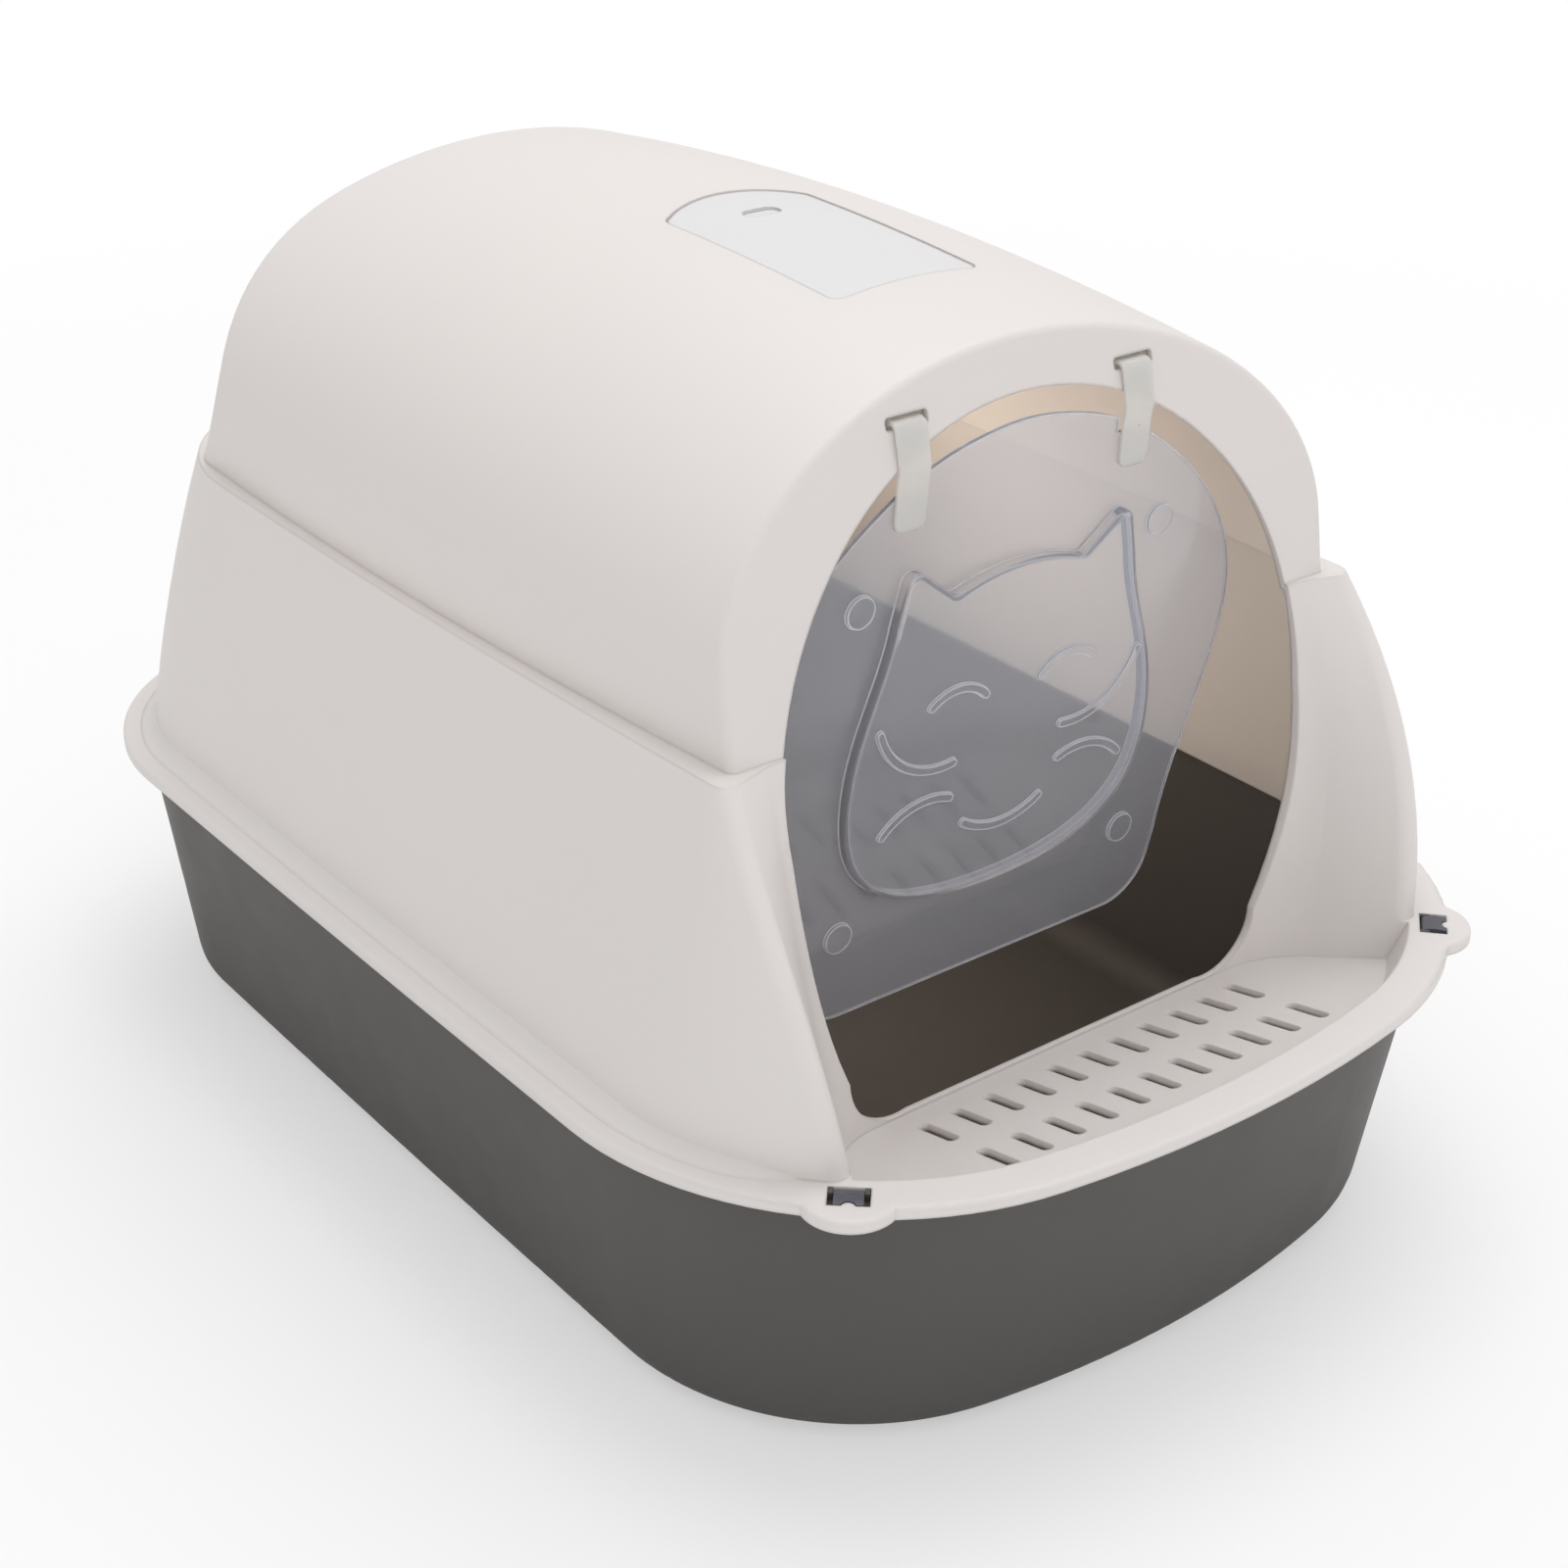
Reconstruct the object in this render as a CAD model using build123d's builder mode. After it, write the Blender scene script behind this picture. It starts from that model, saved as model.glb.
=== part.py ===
"""Covered litter box: a tray, a tilting hood with a scooped step, a clear swing door on two
straps, a roof cover over a carbon filter, and two clip levers.

Millimetres. +Z is up, the doorway faces -Y, and the origin is on the floor under the middle
of the rim. Each sub-part is one solid in its own STEP file in parts/.
"""
from math import cos, radians, sin
import os

from build123d import *

# Rim, where hood and tray meet
rim_length = 570.0
rim_width = 380.0
rim_level = 114.0
front_end = -rim_length / 2
back_end = rim_length / 2
rim_lip_height = 4.6
rim_side_bow = 1.5
rim_front_bow = 38.0
rim_back_bow = 30.0
rim_front_radius = 130.0
rim_back_radius = 105.0
flange_thickness = 2.2

# Tray
tray_wall = 2.6
tray_floor = 2.8
tray_top_inset = 10.0
tray_side_draft = 11.5
tray_front_draft = 18.0
tray_back_draft = 17.0
tray_foot_radius = 16.0
tray_bow_share = 0.93
tray_flange_gap = 0.5
tray_lip_gap = 0.4

# Hood height, and the height that the levels of hood and door are given for
hood_height = 367.0
drawn_height = 367.0


def stretched(level):
    """A level on the drawn hood, moved up or down with the hood's height."""
    return rim_level + (level - rim_level) * (hood_height - rim_level) / (drawn_height - rim_level)


# Hood walls
hood_wall = 2.5
wall_base_inset = 13.0
step_level = stretched(242.0)
step_half_width = 151.0
step_back = back_end - 37.0
step_front = -front_end - 91.5
step_front_bow = 6.0
step_back_bow = 12.0
step_side_bow = 4.5
step_front_radius = 15.0
step_back_radius = 88.0
waist_bulge = 2.0
waist_front_bulge = 10.5
waist_front_bow = 16.0
waist_front_radius = 61.0
waist_back_radius = 90.0
ledge_width = 5.0

# Arched roof
arch_half_width = 146.0
arch_spring_level = stretched(265.0)
crown_fall = 12.0
crown_centre = 33.0
crown_reach = 183.0
arch_side_bow = 6.0
roof_back = back_end - 117.0
roof_back_radius = 84.0
roof_side_margin = 1.0
roof_stations = (
    front_end + 75.0, front_end + 195.0, crown_centre, back_end - 135.0, back_end - 15.0,
)

# Scooped doorway face
face_sill = front_end + 96.0
face_waist = front_end + 101.5
face_step = front_end + 109.3
face_eye = front_end + 122.8
face_crown = front_end + 141.2
face_recess = 1.5
scoop_sill_half = 104.0
scoop_waist_half = 118.0
scoop_step_half = 124.0
scoop_corner_radius = 28.0
cheek_sill_half = 139.6
cheek_waist_half = 149.1
cheek_step_half = 158.4
cheek_sill = front_end + 28.4
cheek_waist = front_end + 59.3
cheek_step = front_end + 97.6

# Doorway
door_top_level = stretched(336.0)
door_widest = 119.5
door_widest_level = stretched(205.0)
door_side_half = 112.5
door_side_level = stretched(152.0)
door_foot_half = 99.5
door_foot_level = 116.0
door_sill_half = 72.0
door_sill_level = 94.0
door_foot_out = 7.0
door_foot_drop = 5.0
door_cut_front = front_end + 93.0
door_cut_back = front_end + 145.0

# Step platform
platform_back = front_end + 96.0
platform_back_level = 92.9
platform_slope = 12.7
platform_inset = 15.0
platform_border_fall = 14.0
platform_bottom = 84.0
platform_slots = 11
slot_pitch = 15.2
slot_length = 19.5
slot_width = 4.8
slot_taper = 12.0
slot_row_back = front_end + 75.5
slot_row_front = front_end + 44.5

# Swing door
door_bottom = 106.5
door_y = front_end + 134.5
door_y_level = stretched(225.0)
door_lean = 4.46
door_sheet = 2.0
door_corner_radius = 22.0
door_edge = [(x, stretched(z)) for x, z in (
    (0.0, 327.5), (20.0, 325.3), (43.0, 318.5), (67.0, 304.5), (88.0, 286.0), (102.0, 267.0),
    (111.5, 238.0), (107.5, 205.0), (98.0, 172.0), (90.0, 135.0),
)]
door_bottom_half = 84.0
door_boss_radius = 6.0
door_boss_height = 1.4
door_boss_top = stretched(273.5)
door_boss_bottom = stretched(142.4)
door_boss_half = 69.5
strap_notch_width = 15.6
strap_notch_level = stretched(312.5)
relief_brow = (30.0, stretched(270.3))
relief_crown = stretched(275.8)
relief_ear = (50.5, stretched(286.5))
relief_side = [(x, stretched(z)) for x, z in (
    (55.5, 265.0), (60.0, 247.0), (68.5, 222.0), (72.3, 193.0), (66.5, 169.5), (53.0, 156.0),
    (30.0, 147.5), (0.0, 144.8),
)]
relief_corner_radius = 4.0
relief_strokes = (
    ((13.0, 228.2), (25.5, 234.0), (38.0, 229.8)),
    ((26.0, 204.4), (44.5, 207.0), (60.8, 225.8)),
    ((26.2, 190.0), (40.5, 191.8), (57.0, 183.2)),
    ((0.0, 171.0), (9.5, 172.4), (18.2, 176.6)),
)
relief_height = 5.0
relief_wall = 1.6
stroke_width = 3.2
stroke_height = 1.2

# Door straps
strap_place = 51.0
strap_width = 14.0
strap_thickness = 1.6
strap_bend_level = stretched(320.9)
strap_head_width = 22.0
strap_head_height = 7.0
strap_bend_radius = 1.2
strap_end_radius = 2.0
strap_hinge_level = stretched(317.6)
strap_end_level = stretched(299.0)
strap_gap = 0.3
door_slot_length = 18.0
door_slot_height = 4.4
door_slot_radius = 1.4
door_slot_level = stretched(336.6)

# Roof cover and filter
cover_width = 65.0
cover_front = front_end + 191.0
cover_back = front_end + 291.0
cover_back_bow = 12.0
cover_thickness = 2.2
cover_sink = 0.6
cover_gap = 0.4
cover_rest_gap = 0.3
cover_corner_radius = 4.5
cover_dimple_place = front_end + 276.0
cover_dimple_length = 16.0
cover_dimple_width = 8.0
cover_dimple_depth = 1.1
pocket_wall = 2.0
pocket_floor_level = hood_height - 22.0
pocket_floor = 2.0
pocket_ledge = 2.5
vent_count = 7
vent_pitch = 12.0
vent_width = 4.4
vent_length = 46.0
filter_thickness = 8.0
filter_gap = 0.5

# Rim ears and clip levers
ear_radius = 17.5
ear_reach = 120.0
ear_angle = 48.2
ear_centre_y = front_end + 134.8
window_inner = 118.3
window_outer = 128.4
window_width = 14.2
nose_radius = 2.4
nose_shift = 0.6
lug_width = 1.4
lug_length = 3.4
clip_pivot = 120.2
clip_pivot_level = 117.5
clip_barrel_radius = 1.2
clip_pin_radius = 0.8
clip_gap = 0.35
clip_bottom_gap = 0.3
clip_crown = 0.5

# Rear hinge
hinge_place = 36.0
hinge_setback = 5.2
hinge_level = 108.8
hinge_pin_radius = 2.2
pin_gap = 0.1
hinge_ear_width = 4.0
hinge_ear_radius = 3.8
hook_width = 16.0
hook_side_gap = 1.0
hook_thickness = 2.1
hook_lip_angle = 60.0
hinge_root = 7.0

# Soft edges
ridge_radius = 6.0
rim_edge_radius = 1.6
arch_edge_radius = 3.0
relief_edge_radius = 1.8

half_width = rim_width / 2
half_length = rim_length / 2
rim_top = rim_level + rim_lip_height
flange_underside = rim_top - flange_thickness
tray_flange_top = flange_underside - tray_flange_gap
tray_flange_bottom = rim_level
tray_lip_inset = hood_wall + tray_lip_gap
waist_level = (rim_top + step_level) / 2
hinge_y = half_length - hinge_setback
far = 2 * rim_length


def plan_outline(level, side, front, back, side_bow, front_bow, back_bow, front_round, back_round):
    """A closed plan with bowed sides and ends and rounded corners."""
    end = side - side_bow
    front_end = front_bow - front
    back_end = back - back_bow
    middle = (front_end + back_end) / 2
    with BuildSketch(Plane.XY.offset(level)) as outline:
        with BuildLine():
            ThreePointArc((-end, front_end), (0, -front), (end, front_end))
            ThreePointArc((end, front_end), (side, middle), (end, back_end))
            ThreePointArc((end, back_end), (0, back), (-end, back_end))
            ThreePointArc((-end, back_end), (-side, middle), (-end, front_end))
        make_face()
        fillet(outline.vertices().group_by(Axis.Y)[0], front_round)
        fillet(outline.vertices().group_by(Axis.Y)[-1], back_round)
    return outline.sketch


def rim_outline(level, inset):
    """The plan of the rim at one height, drawn in by an inset."""
    share = 1 - inset / half_width
    return plan_outline(
        level, half_width - inset, half_length - inset, half_length - inset,
        rim_side_bow, rim_front_bow * share, rim_back_bow * share,
        rim_front_radius - inset, rim_back_radius - inset,
    )


def corner_plane(side, reach, level):
    """A level plane at a front corner of the rim, its Y pointing out of the box."""
    out_x = side * cos(radians(ear_angle))
    out_y = -sin(radians(ear_angle))
    centre_x = side * (half_width - rim_front_radius)
    return Plane(
        origin=(centre_x + reach * out_x, ear_centre_y + reach * out_y, level),
        x_dir=(out_y, -out_x, 0),
        z_dir=(0, 0, 1),
    )


def lever_plane(side, shift):
    """An upright plane across a front corner: X points out of the box and Y up."""
    level = corner_plane(side, 0.0, 0.0)
    return Plane(
        origin=level.origin + level.x_dir * shift, x_dir=level.y_dir, z_dir=level.x_dir
    )


def rim_ear(side, inset, bottom, top, soft):
    """The round ear of the rim at one front corner."""
    with BuildPart() as ear:
        with BuildSketch(corner_plane(side, ear_reach, bottom)):
            Circle(ear_radius - inset)
        extrude(amount=top - bottom)
        if soft:
            fillet(ear.edges().group_by(Axis.Z)[-1], soft)
    return ear.part


def rim_plate(inset, bottom, top, soft=0.0):
    """A slab with the plan of the rim and its two ears, drawn in by an inset."""
    with BuildPart() as plate:
        extrude(rim_outline(bottom, inset), amount=top - bottom)
        if soft:
            fillet(plate.edges().group_by(Axis.Z)[-1], soft)
        for side in (-1, 1):
            add(rim_ear(side, inset, bottom, top, soft))
    return plate.part


def skirt_body(inset, bottom):
    """The lower hood from the rim up to the step, drawn in by a wall thickness."""
    mean_length = half_length - wall_base_inset
    plans = [
        rim_outline(bottom, wall_base_inset + inset),
        plan_outline(
            waist_level,
            (half_width - wall_base_inset + step_half_width) / 2 + waist_bulge - inset,
            (mean_length + step_front) / 2 + waist_front_bulge - inset,
            (mean_length + step_back) / 2 + waist_bulge - inset,
            (rim_side_bow + step_side_bow) / 2, waist_front_bow,
            (rim_back_bow + step_back_bow) / 2,
            waist_front_radius - inset, waist_back_radius - inset,
        ),
        plan_outline(
            step_level - inset, step_half_width - inset, step_front - inset, step_back - inset,
            step_side_bow, step_front_bow, step_back_bow,
            step_front_radius, step_back_radius - inset,
        ),
    ]
    with BuildPart() as body:
        loft([plan.face() for plan in plans])
    return body.part


def arch_section(place, inset, bottom):
    """One upright section of the roof: straight sides under half an ellipse."""
    share = ((place - crown_centre) / crown_reach) ** 2
    side = arch_half_width - arch_side_bow * share - inset
    rise = hood_height - crown_fall * share - inset - arch_spring_level
    with BuildSketch(Plane.XZ.offset(-place)) as section:
        with BuildLine():
            Line((-side, arch_spring_level), (-side, bottom))
            Line((-side, bottom), (side, bottom))
            Line((side, bottom), (side, arch_spring_level))
            EllipticalCenterArc((0, arch_spring_level), side, rise, start_angle=0, arc_size=180)
        make_face()
    return section.sketch


def roof_body(inset):
    """The arched upper hood, with its leaning and rounded back."""
    bottom = step_level - 2 * ledge_width
    top = hood_height + ledge_width
    lean = (step_back - roof_back) / (top - bottom) * ledge_width
    plans = [
        plan_outline(
            level, step_half_width + roof_side_margin, half_length, back - inset, step_side_bow,
            step_front_bow, step_back_bow, step_front_radius, back_round,
        )
        for level, back, back_round in (
            (bottom, step_back - ledge_width + lean, step_back_radius),
            (top, roof_back, roof_back_radius),
        )
    ]
    with BuildPart() as envelope:
        loft([plan.face() for plan in plans], ruled=True)
    with BuildPart() as body:
        loft([arch_section(place, inset, bottom).face() for place in roof_stations])
        add(envelope.part, mode=Mode.INTERSECT)
    return body.part


def scoop_section(level, face, back_half, cheek_half, cheek, grow):
    """One plan section of the scoop in front of the doorway, grown by a wall thickness."""
    with BuildSketch(Plane.XY.offset(level)) as section:
        with BuildLine():
            Polyline(
                (-back_half - grow, face + grow),
                (back_half + grow, face + grow),
                (cheek_half + grow, cheek + grow),
                (far, cheek - far),
                (-far, cheek - far),
                (-cheek_half - grow, cheek + grow),
                close=True,
            )
        make_face()
        fillet(section.vertices().group_by(Axis.Y)[-1], scoop_corner_radius)
    return section.sketch


def scoop_body(grow):
    """The hollow in front of the lower face, from under the platform up to the step."""
    shift = grow - face_recess / 2
    plans = [
        scoop_section(level, face + shift - grow, back_half, cheek_half, cheek, grow)
        for level, face, back_half, cheek_half, cheek in (
            (platform_bottom, face_sill, scoop_sill_half, cheek_sill_half, cheek_sill),
            (waist_level, face_waist, scoop_waist_half, cheek_waist_half, cheek_waist),
            (step_level, face_step, scoop_step_half, cheek_step_half, cheek_step),
        )
    ]
    with BuildPart() as body:
        loft([plan.face() for plan in plans])
    return body.part


def upper_face_body(grow):
    """Everything in front of the leaning upper face."""
    bottom = step_level - grow
    top = hood_height + 2 * ledge_width
    shift = face_recess / 2 + grow
    middle = (step_level + top) / 2
    with BuildPart() as body:
        with BuildSketch(Plane.YZ):
            with BuildLine():
                ThreePointArc(
                    (face_step + shift, bottom),
                    (face_eye + shift, middle),
                    (face_crown + shift, top),
                )
                Polyline(
                    (face_crown + shift, top),
                    (-far, top),
                    (-far, bottom),
                    (face_step + shift, bottom),
                )
            make_face()
        extrude(amount=far / 2, both=True)
    return body.part


def platform_space(drop):
    """The space above the sloping platform, or above a plane dropped below it."""
    rise = sin(radians(platform_slope)) / cos(radians(platform_slope))
    low = platform_back_level - drop
    reach = (rim_top - low) / rise
    with BuildPart() as space:
        with BuildSketch(Plane.YZ):
            with BuildLine():
                Polyline(
                    (platform_back + hood_wall * 2, low - rise * hood_wall * 2),
                    (platform_back + hood_wall * 2, rim_top),
                    (platform_back - reach, rim_top),
                    close=True,
                )
            make_face()
        extrude(amount=half_width, both=True)
    return space.part


def border_body(inset, top):
    """The tapering edge of the platform, which follows the rim."""
    plans = (
        rim_outline(platform_bottom, inset + platform_border_fall),
        rim_outline(top, inset),
    )
    with BuildPart() as body:
        loft([plan.face() for plan in plans], ruled=True)
    return body.part


def door_opening():
    """The doorway seen from the front: an arch drawn in towards a flat sill."""
    with BuildSketch(Plane.XZ) as outline:
        with BuildLine():
            right = [
                (door_widest, door_widest_level),
                (door_side_half, door_side_level),
                (door_foot_half, door_foot_level),
            ]
            left = [(-x, z) for x, z in right]
            ThreePointArc(right[0], (0, door_top_level), left[0])
            ThreePointArc(*right)
            ThreePointArc(*left)
            foot = (door_sill_half, door_sill_level)
            bend_half = (door_foot_half + door_sill_half) / 2 + door_foot_out
            bend_level = (door_foot_level + door_sill_level) / 2 - door_foot_drop
            ThreePointArc(right[2], (bend_half, bend_level), foot)
            ThreePointArc(left[2], (-bend_half, bend_level), (-foot[0], foot[1]))
            Line(foot, (-foot[0], foot[1]))
        make_face()
    return outline.sketch


def platform_plane(place):
    """The plane of the sloping platform, with its origin at one distance from the doorway."""
    rise = sin(radians(platform_slope)) / cos(radians(platform_slope))
    return Plane(
        origin=(0, place, platform_back_level + rise * (platform_back - place)),
        x_dir=(1, 0, 0),
        z_dir=(0, sin(radians(platform_slope)), cos(radians(platform_slope))),
    )


def cover_outline(level, grow):
    """The plan of the roof cover, grown all round."""
    half = cover_width / 2 + grow
    front = cover_front - grow
    back = cover_back + grow
    with BuildSketch(Plane.XY.offset(level)) as outline:
        with BuildLine():
            Polyline((-half, back), (-half, front), (half, front), (half, back))
            ThreePointArc((half, back), (0, back + cover_back_bow), (-half, back))
        make_face()
        fillet(outline.vertices(), cover_corner_radius + grow)
    return outline.sketch


def cover_prism(bottom, top, grow):
    """A block with the plan of the roof cover."""
    with BuildPart() as block:
        extrude(cover_outline(bottom, grow), amount=top - bottom)
    return block.part


def crest_level(place):
    """The height of the roof's crest at one distance along the box."""
    return hood_height - crown_fall * ((place - crown_centre) / crown_reach) ** 2


def upper_face_y(level):
    """The front of the leaning upper face at one height."""
    top = hood_height + 2 * ledge_width
    share = (level - step_level) / (top - step_level)
    bend = 2 * (face_step + face_crown - 2 * face_eye)
    slope = face_crown - face_step - bend
    return face_step + slope * share + bend * share**2 + face_recess / 2


def door_face(reach):
    """A plane in front of the leaning door, its Y running up the door from floor level."""
    lean = radians(door_lean)
    foot_y = door_y + door_y_level * sin(lean) - reach * cos(lean)
    foot_z = door_y_level * (1 - cos(lean)) - reach * sin(lean)
    return Plane(origin=(0, foot_y, foot_z), x_dir=(1, 0, 0), z_dir=(0, -cos(lean), -sin(lean)))


def relief_outline(reach, inset):
    """The outline of the animal face on a plane in front of the door, drawn in by an inset."""
    middle = relief_side[2][1]
    share = 1 - inset / relief_side[2][0]
    brow, tip, crown, *edge = [
        (x * share, middle + (z - middle) * share)
        for x, z in (relief_brow, relief_ear, (0.0, relief_crown), *relief_side)
    ]
    with BuildSketch(door_face(reach)) as outline:
        with BuildLine():
            for side in (-1, 1):
                Line((side * brow[0], brow[1]), (side * tip[0], tip[1]))
                Line((side * tip[0], tip[1]), (side * edge[0][0], edge[0][1]))
            Spline(*edge, *[(-x, z) for x, z in reversed(edge[:-1])])
            ThreePointArc(brow, crown, (-brow[0], brow[1]))
        make_face()
        corners = outline.vertices().filter_by(lambda v: v.Y > edge[0][1] - relief_wall)
        fillet(corners, relief_corner_radius)
    return outline.sketch


def ridge_edges(body):
    """The two upright edges where the scoop's cheeks meet the outer wall."""
    return body.edges().filter_by(
        lambda edge: edge.length > waist_level / 2
        and abs(edge.center().X) > (scoop_step_half + step_half_width) / 2
        and edge.center().Y < face_sill
        and edge.center().Z > rim_top + waist_bulge
    )


def tray_outline(level, draft_share, wall):
    """The plan of the tray at one height, with a share of its draft and a wall drawn in."""
    side = tray_top_inset + tray_side_draft * draft_share + wall
    front = tray_top_inset + tray_front_draft * draft_share + wall
    back = tray_top_inset + tray_back_draft * draft_share + wall
    return plan_outline(
        level, half_width - side, half_length - front, half_length - back,
        rim_side_bow, rim_front_bow * tray_bow_share, rim_back_bow * tray_bow_share,
        rim_front_radius - (side + front) / 2, rim_back_radius - (side + back) / 2,
    )


# Hood
roof_top = hood_height + ledge_width
scoop = scoop_body(0.0)
scoop_outer = scoop_body(hood_wall)
roof_solid = roof_body(0.0)
with BuildPart() as pan:
    add(scoop_outer)
    add(border_body(platform_inset - hood_wall, rim_top), mode=Mode.INTERSECT)
    add(platform_space(hood_wall), mode=Mode.INTERSECT)
with BuildPart() as hollow:
    add(skirt_body(hood_wall, rim_level))
    add(roof_body(hood_wall))
    add(scoop_outer, mode=Mode.SUBTRACT)
    add(upper_face_body(hood_wall), mode=Mode.SUBTRACT)
    fillet(ridge_edges(hollow), ridge_radius - hood_wall)
with BuildPart() as channel:
    add(rim_plate(hood_wall, rim_level, flange_underside))
    add(pan.part, mode=Mode.SUBTRACT)
with BuildPart() as tread:
    add(scoop)
    add(border_body(platform_inset, rim_top), mode=Mode.INTERSECT)
    add(platform_space(0.0), mode=Mode.INTERSECT)
with BuildPart() as front_cut:
    add(scoop)
    with BuildSketch(Plane.XY.offset(platform_bottom)):
        Rectangle(far, far)
    extrude(amount=rim_top - platform_bottom, mode=Mode.SUBTRACT)
with BuildPart() as pocket:
    add(cover_prism(pocket_floor_level - pocket_floor, roof_top, cover_gap + pocket_wall))
    add(roof_solid, mode=Mode.INTERSECT)
with BuildPart() as cover_recess:
    add(cover_prism(pocket_floor_level, roof_top, cover_gap))
    add(roof_body(cover_sink + cover_thickness + cover_rest_gap), mode=Mode.SUBTRACT)

with BuildPart() as hood:
    add(skirt_body(0.0, rim_top - flange_thickness / 2))
    add(roof_solid)
    add(front_cut.part, mode=Mode.SUBTRACT)
    add(upper_face_body(0.0), mode=Mode.SUBTRACT)
    fillet(ridge_edges(hood), ridge_radius)
    arch_edges = hood.edges().filter_by(
        lambda edge: edge.center().Y < door_cut_back
        and edge.center().Z > step_level + ledge_width
        and edge.length > 2 * ledge_width
    )
    fillet(arch_edges, arch_edge_radius)
    add(rim_plate(0.0, rim_level, rim_top, rim_edge_radius))
    add(hollow.part, mode=Mode.SUBTRACT)
    add(pan.part)
    add(channel.part, mode=Mode.SUBTRACT)
    add(tread.part, mode=Mode.SUBTRACT)
    # Doorway
    extrude(
        door_opening().moved(Location((0, door_cut_front, 0))),
        amount=door_cut_front - door_cut_back,
        mode=Mode.SUBTRACT,
    )
    # Rows of slots in the platform
    for row in (slot_row_back, slot_row_front):
        with BuildSketch(platform_plane(row)) as slots:
            with GridLocations(slot_pitch, 1, platform_slots, 1):
                SlotOverall(slot_length, slot_width, rotation=90)
        for slot in slots.sketch.faces():
            extrude(slot, amount=-2 * hood_wall, taper=slot_taper, mode=Mode.SUBTRACT)
    # Slots for the door straps
    with BuildSketch(Plane.XZ.offset(-door_cut_back)):
        for side in (-1, 1):
            with Locations((side * strap_place, door_slot_level)):
                RectangleRounded(door_slot_length, door_slot_height, door_slot_radius)
    extrude(amount=door_cut_back - door_cut_front, mode=Mode.SUBTRACT)
    # Filter pocket under the roof cover
    add(pocket.part)
    add(cover_recess.part, mode=Mode.SUBTRACT)
    add(cover_prism(pocket_floor_level, roof_top, -pocket_ledge), mode=Mode.SUBTRACT)
    with BuildSketch(Plane.XY.offset(pocket_floor_level)):
        with Locations((0, (cover_front + cover_back) / 2)):
            with GridLocations(1, vent_pitch, 1, vent_count):
                SlotOverall(vent_length, vent_width)
    extrude(amount=-pocket_floor, mode=Mode.SUBTRACT)
    # Windows for the clip levers, each with a small nose
    for side in (-1, 1):
        with BuildSketch(corner_plane(side, 0.0, rim_level)):
            with Locations((0, (window_inner + window_outer) / 2)):
                Rectangle(window_width, window_outer - window_inner)
            with Locations((0, window_outer + nose_shift)):
                Circle(nose_radius, mode=Mode.SUBTRACT)
        extrude(amount=rim_lip_height + hood_wall, mode=Mode.SUBTRACT)
    # Hooks that hold the rear hinge pins
    hook_hole = hinge_pin_radius + pin_gap
    for side in (-1, 1):
        with BuildSketch(Plane.YZ.offset(side * hinge_place - hook_width / 2)):
            with Locations((hinge_y, hinge_level)):
                Circle(hook_hole + hook_thickness)
                Circle(hook_hole, mode=Mode.SUBTRACT)
                Polygon(
                    (0, 0), (-far, 0), (-far, far), (far, far),
                    (far * cos(radians(hook_lip_angle)), far * sin(radians(hook_lip_angle))),
                    align=None, mode=Mode.SUBTRACT,
                )
            with BuildLine():
                Polyline(
                    (hinge_y + hook_hole, hinge_level),
                    (hinge_y + hook_hole + hook_thickness, hinge_level),
                    (hinge_y + hook_hole + hook_thickness, flange_underside),
                    (hinge_y + hook_hole, flange_underside),
                    close=True,
                )
            make_face()
        extrude(amount=hook_width)
hood.part.label = "hood"

# Tray
with BuildPart() as tray_hollow:
    plans = [tray_outline(tray_floor, 1.0, tray_wall), tray_outline(rim_top, 0.0, tray_wall)]
    loft([plan.face() for plan in plans], ruled=True)
    fillet(tray_hollow.faces().sort_by(Axis.Z)[0].edges(), tray_foot_radius - tray_wall)
with BuildPart() as litter_tray:
    plans = [tray_outline(0.0, 1.0, 0.0), tray_outline(tray_flange_bottom, 0.0, 0.0)]
    loft([plan.face() for plan in plans], ruled=True)
    fillet(litter_tray.faces().sort_by(Axis.Z)[0].edges(), tray_foot_radius)
    add(rim_plate(tray_lip_inset, tray_flange_bottom, tray_flange_top))
    add(tray_hollow.part, mode=Mode.SUBTRACT)
    for side in (-1, 1):
        # Lugs with holes for the pins of the clip lever
        lug_top = clip_pivot_level + clip_barrel_radius
        lug_place = window_width / 2 - clip_gap - lug_width / 2
        for end in (-1, 1):
            with BuildSketch(corner_plane(side, 0.0, tray_flange_top)):
                with Locations((end * lug_place, clip_pivot)):
                    Rectangle(lug_width, lug_length)
            extrude(amount=lug_top - tray_flange_top)
        with BuildSketch(lever_plane(side, -window_width / 2)):
            with Locations((clip_pivot, clip_pivot_level)):
                Circle(clip_pin_radius + pin_gap)
        extrude(amount=window_width, mode=Mode.SUBTRACT)
        # Hinge pin between two ears
        pin_span = hook_width / 2 + hook_side_gap
        for end in (-1, 1):
            ear_start = side * hinge_place + end * (pin_span + hinge_ear_width / 2)
            with BuildSketch(Plane.YZ.offset(ear_start - hinge_ear_width / 2)):
                with Locations((hinge_y, hinge_level)):
                    Circle(hinge_ear_radius)
                with BuildLine():
                    Polyline(
                        (hinge_y - hinge_root, hinge_level - hinge_ear_radius),
                        (hinge_y, hinge_level - hinge_ear_radius),
                        (hinge_y, tray_flange_bottom),
                        (hinge_y - hinge_root, tray_flange_bottom),
                        close=True,
                    )
                make_face()
            extrude(amount=hinge_ear_width)
        with BuildSketch(Plane.YZ.offset(side * hinge_place - pin_span)):
            with Locations((hinge_y, hinge_level)):
                Circle(hinge_pin_radius)
        extrude(amount=2 * pin_span)
litter_tray.part.label = "litter_tray"

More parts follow.
